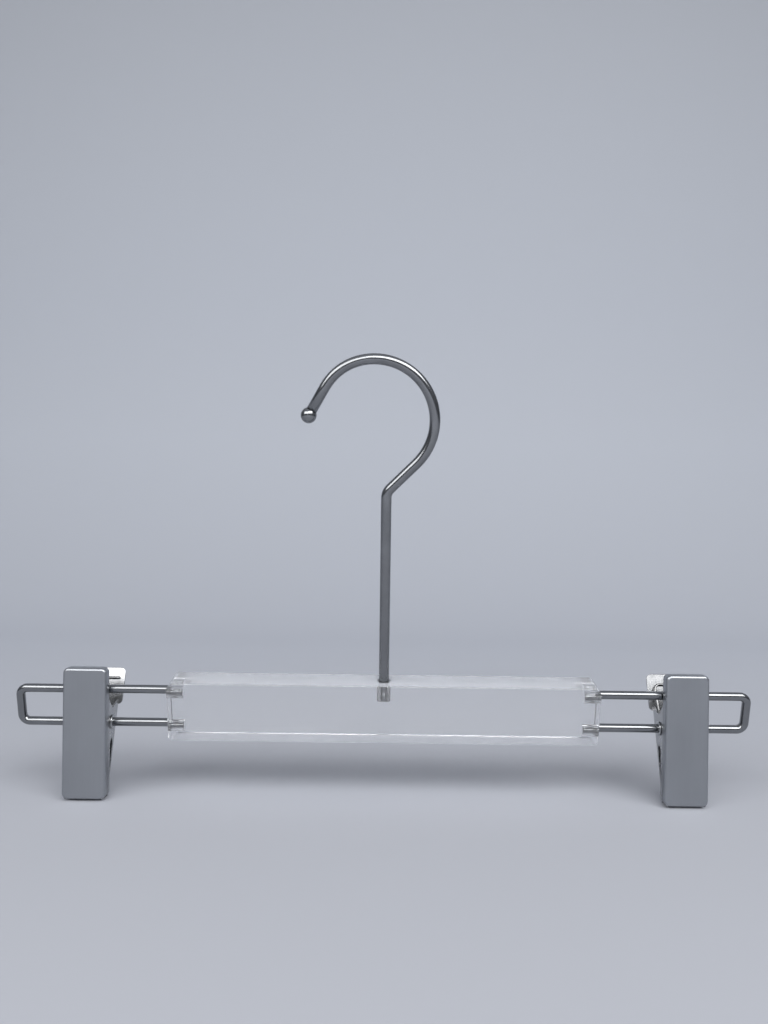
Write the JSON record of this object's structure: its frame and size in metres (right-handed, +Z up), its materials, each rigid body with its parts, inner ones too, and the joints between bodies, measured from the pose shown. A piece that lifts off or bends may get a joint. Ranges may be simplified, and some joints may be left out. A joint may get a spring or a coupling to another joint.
{
  "type": "trouser hanger",
  "caption": "Clear-bar trouser hanger with a swivelling steel hook and a sprung clip sliding on a wire loop at each end, standing on its clips.",
  "frame": {"origin": "centre of the bounding box on the floor, with the hanger standing on its two clips", "axes": "+X along the bar to the viewer's right, +Z up, the clips' front covers and the leaning hook towards -Y"},
  "size_m": [0.3472, 0.057, 0.2044],
  "materials": {
    "clear_acrylic": "clear, polished",
    "clear_plastic": "clear",
    "satin_steel": "satin polished steel",
    "brushed_gunmetal": "satin gunmetal plating",
    "bright_steel": "bright nickel plating",
    "spring_wire": "drawn spring wire",
    "white_grip": "matt white anti-slip pad"
  },
  "bodies": {
    "bar": {"acrylic_bar": "clear_acrylic", "hook_bush": "clear_plastic", "left_loop": "satin_steel", "right_loop": "satin_steel", "left_upper_sleeve": "clear_plastic", "left_lower_sleeve": "clear_plastic", "right_upper_sleeve": "clear_plastic", "right_lower_sleeve": "clear_plastic"},
    "swivel_hook": {"hook": "satin_steel", "hook_tip": "satin_steel"},
    "left_runner": {"left_pivot_tube": "bright_steel"},
    "left_front": {"left_front_cover": "brushed_gunmetal", "left_front_jaw": "bright_steel", "left_front_pad": "white_grip", "left_spring": "spring_wire"},
    "left_back": {"left_back_jaw": "bright_steel", "left_back_pad": "white_grip"},
    "right_runner": {"right_pivot_tube": "bright_steel"},
    "right_front": {"right_front_cover": "brushed_gunmetal", "right_front_jaw": "bright_steel", "right_front_pad": "white_grip", "right_spring": "spring_wire"},
    "right_back": {"right_back_jaw": "bright_steel", "right_back_pad": "white_grip"}
  },
  "joints": [
    {"name": "hook_swivel", "type": "hinge", "parent": "bar", "child": "swivel_hook", "pos_m": [0, 0.00947, 0.0346], "axis": [0, -0.2079, 0.9781], "continuous": true},
    {"name": "left_clip_slide", "type": "slide", "parent": "bar", "child": "left_runner", "axis": [-1, 0, 0], "range_m": [-0.027, 0.0185]},
    {"name": "left_clip_swing", "type": "hinge", "parent": "left_runner", "child": "left_front", "pos_m": [-0.1388, 0.00947, 0.0346], "axis": [1, 0, 0], "range_deg": [0, 18]},
    {"name": "left_jaw", "type": "hinge", "parent": "left_front", "child": "left_back", "pos_m": [-0.1388, 0.00947, 0.0346], "axis": [1, 0, 0], "range_deg": [0, 26], "stiffness_Nm_per_rad": 0.35, "springref_deg": -40.11, "deforming": ["left_spring"]},
    {"name": "right_clip_slide", "type": "slide", "parent": "bar", "child": "right_runner", "axis": [1, 0, 0], "range_m": [-0.029, 0.0163]},
    {"name": "right_clip_swing", "type": "hinge", "parent": "right_runner", "child": "right_front", "pos_m": [0.141, 0.00947, 0.0346], "axis": [1, 0, 0], "range_deg": [0, 18]},
    {"name": "right_jaw", "type": "hinge", "parent": "right_front", "child": "right_back", "pos_m": [0.141, 0.00947, 0.0346], "axis": [1, 0, 0], "range_deg": [0, 26], "stiffness_Nm_per_rad": 0.35, "springref_deg": -40.11, "deforming": ["right_spring"]}
  ]
}
